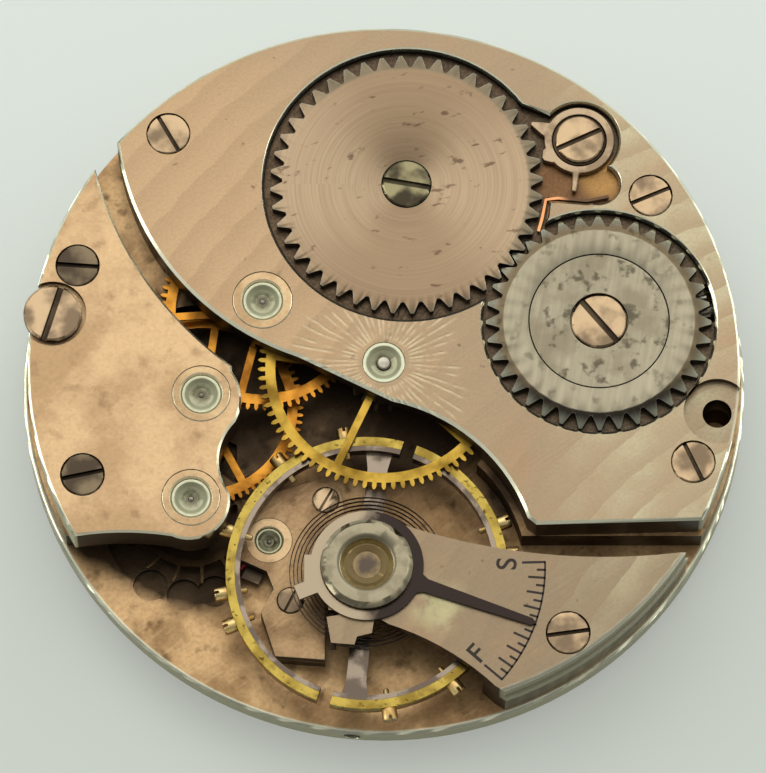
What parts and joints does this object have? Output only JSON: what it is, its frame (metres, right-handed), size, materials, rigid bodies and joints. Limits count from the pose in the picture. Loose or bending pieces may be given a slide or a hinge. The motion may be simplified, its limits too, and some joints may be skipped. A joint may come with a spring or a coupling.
{
  "type": "watch movement",
  "caption": "Jewelled pocket watch movement: bridges, winding wheels, going train, lever escapement, cut balance with regulator and motion work.",
  "frame": {"origin": "where the centre arbor crosses the face that the dial rests on", "axes": "+Z along the centre arbor from the dial side to the bridges, +Y towards the mainspring barrel, +X towards the winding side"},
  "size_m": [0.0398, 0.0398, 0.0079],
  "materials": {
    "nickel_plate": "damaskeened nickel and rose gilt",
    "train_plate": "gilt, fine grained",
    "pillar_gilt": "gilt, stained with age",
    "polished_steel": "polished steel",
    "blued_steel": "blued steel",
    "grey_steel": "ground steel, lightly stained",
    "gilt_brass": "gilt brass",
    "yellow_brass": "plain brass, spotted",
    "copper_steel": "polished steel with a straw tint",
    "jewel_clear": "pale synthetic ruby and sapphire",
    "jewel_brown": "brown end stone",
    "jewel_red": "red ruby"
  },
  "bodies": {
    "plate": {"pillar_plate": "pillar_gilt", "barrel_bridge": "nickel_plate", "train_bridge": "train_plate", "balance_cock": "nickel_plate", "pallet_bridge": "pillar_gilt", "barrel_bridge_screws": "copper_steel", "train_bridge_screws": "blued_steel", "balance_cock_screws": "copper_steel", "pallet_bridge_screws": "copper_steel", "case_screw": "copper_steel", "jewel_settings": "gilt_brass", "bridge_jewels": "jewel_clear", "plate_jewels": "jewel_clear", "balance_hole_jewels": "jewel_clear", "cap_setting": "polished_steel", "cap_jewels": "jewel_brown", "hairspring_stud": "polished_steel", "crown_wheel_core": "grey_steel", "crown_wheel_screw": "copper_steel", "click_screw": "copper_steel", "click_spring": "copper_steel", "dial_foot_screws": "copper_steel", "yoke_spring": "blued_steel"},
    "center": {"center_wheel": "gilt_brass", "center_pinion": "polished_steel", "cannon_pinion": "polished_steel"},
    "barrel": {"barrel_drum": "gilt_brass", "barrel_cover": "gilt_brass"},
    "third": {"third_wheel": "gilt_brass", "third_pinion": "polished_steel"},
    "fourth": {"fourth_wheel": "gilt_brass", "fourth_pinion": "polished_steel"},
    "escape": {"escape_wheel": "gilt_brass", "escape_pinion": "polished_steel"},
    "lever": {"pallet_fork": "polished_steel", "pallet_stones": "jewel_red", "pallet_arbor": "polished_steel"},
    "balance": {"balance_rim": "yellow_brass", "balance_arms": "grey_steel", "balance_screws": "gilt_brass", "balance_staff": "polished_steel", "roller_table": "polished_steel", "impulse_jewel": "jewel_red", "hairspring_collet": "gilt_brass", "hairspring": "blued_steel"},
    "ratchet": {"ratchet_wheel": "nickel_plate", "barrel_arbor": "polished_steel", "ratchet_screw": "blued_steel", "mainspring": "blued_steel"},
    "crown": {"crown_wheel": "grey_steel"},
    "stem": {"winding_arbor": "polished_steel", "winding_pinion": "polished_steel"},
    "clutch": {"clutch_wheel": "polished_steel"},
    "yoke": {"yoke": "polished_steel"},
    "click": {"click": "polished_steel"},
    "regulator": {"regulator": "blued_steel"},
    "minute": {"minute_wheel": "gilt_brass"},
    "hour": {"hour_wheel": "gilt_brass"},
    "intermediate": {"intermediate_wheel": "polished_steel"},
    "setting": {"setting_wheel": "polished_steel"}
  },
  "joints": [
    {"name": "center_turn", "type": "hinge", "parent": "plate", "child": "center", "pos_m": [0, 0, 0], "axis": [0, 0, 1], "continuous": true},
    {"name": "barrel_turn", "type": "hinge", "parent": "plate", "child": "barrel", "pos_m": [0.00125, 0.01034, 0], "axis": [0, 0, 1], "continuous": true},
    {"name": "third_turn", "type": "hinge", "parent": "plate", "child": "third", "pos_m": [-0.00665, 0.0036, 0], "axis": [0, 0, 1], "continuous": true},
    {"name": "fourth_turn", "type": "hinge", "parent": "plate", "child": "fourth", "pos_m": [-0.00997, -0.00177, 0], "axis": [0, 0, 1], "continuous": true},
    {"name": "escape_turn", "type": "hinge", "parent": "plate", "child": "escape", "pos_m": [-0.01048, -0.00769, 0], "axis": [0, 0, 1], "continuous": true},
    {"name": "minute_turn", "type": "hinge", "parent": "plate", "child": "minute", "pos_m": [0.00308, -0.00144, 0], "axis": [0, 0, 1], "continuous": true},
    {"name": "hour_turn", "type": "hinge", "parent": "plate", "child": "hour", "pos_m": [0, 0, 0], "axis": [0, 0, 1], "continuous": true},
    {"name": "intermediate_turn", "type": "hinge", "parent": "plate", "child": "intermediate", "pos_m": [0.00752, 0.00045, 0], "axis": [0, 0, 1], "continuous": true},
    {"name": "setting_turn", "type": "hinge", "parent": "plate", "child": "setting", "pos_m": [0.01169, 0.00222, 0], "axis": [0, 0, 1], "continuous": true},
    {"name": "lever_swing", "type": "hinge", "parent": "plate", "child": "lever", "pos_m": [-0.00627, -0.00935, 0], "axis": [0, 0, 1], "range_deg": [-5, 5]},
    {"name": "balance_swing", "type": "hinge", "parent": "plate", "child": "balance", "pos_m": [-0.00092, -0.01146, 0], "axis": [0, 0, 1], "range_deg": [0, 210], "stiffness_Nm_per_rad": 0.000006, "deforming": ["hairspring"]},
    {"name": "ratchet_wind", "type": "hinge", "parent": "plate", "child": "ratchet", "pos_m": [0.00125, 0.01034, 0], "axis": [0, 0, 1], "range_deg": [0, 1800], "deforming": ["mainspring"]},
    {"name": "crown_wind", "type": "hinge", "parent": "plate", "child": "crown", "pos_m": [0.01179, 0.0024, 0], "axis": [0, 0, 1], "range_deg": [-2201, 0]},
    {"name": "stem_turn", "type": "hinge", "parent": "plate", "child": "stem", "pos_m": [0, 0, 0.0034], "axis": [0.98, 0.1991, 0], "range_deg": [-1, 7921]},
    {"name": "clutch_slide", "type": "slide", "parent": "stem", "child": "clutch", "axis": [0.98, 0.1991, 0], "range_m": [-0.001, 0]},
    {"name": "yoke_swing", "type": "hinge", "parent": "plate", "child": "yoke", "pos_m": [0.01583, -0.00107, 0], "axis": [0, 0, 1], "range_deg": [0, 13.67]},
    {"name": "click_swing", "type": "hinge", "parent": "plate", "child": "click", "pos_m": [0.0108, 0.01293, 0], "axis": [0, 0, 1], "range_deg": [0, 15.5]},
    {"name": "regulator_set", "type": "hinge", "parent": "plate", "child": "regulator", "pos_m": [-0.00092, -0.01146, 0], "axis": [0, 0, 1], "range_deg": [-18, 18]}
  ],
  "couplings": [
    {"joint": "barrel_turn", "follows": "center_turn", "ratio": -0.2},
    {"joint": "third_turn", "follows": "center_turn", "ratio": -8},
    {"joint": "fourth_turn", "follows": "center_turn", "ratio": 60},
    {"joint": "escape_turn", "follows": "center_turn", "ratio": -600},
    {"joint": "minute_turn", "follows": "center_turn", "ratio": -0.33333},
    {"joint": "hour_turn", "follows": "center_turn", "ratio": 0.083333},
    {"joint": "intermediate_turn", "follows": "center_turn", "ratio": 0.375},
    {"joint": "setting_turn", "follows": "center_turn", "ratio": -0.375},
    {"joint": "crown_wind", "follows": "ratchet_wind", "ratio": -1.2222},
    {"joint": "stem_turn", "follows": "ratchet_wind", "ratio": 4.4},
    {"joint": "yoke_swing", "follows": "clutch_slide", "rad_per_m": -238.66}
  ]
}
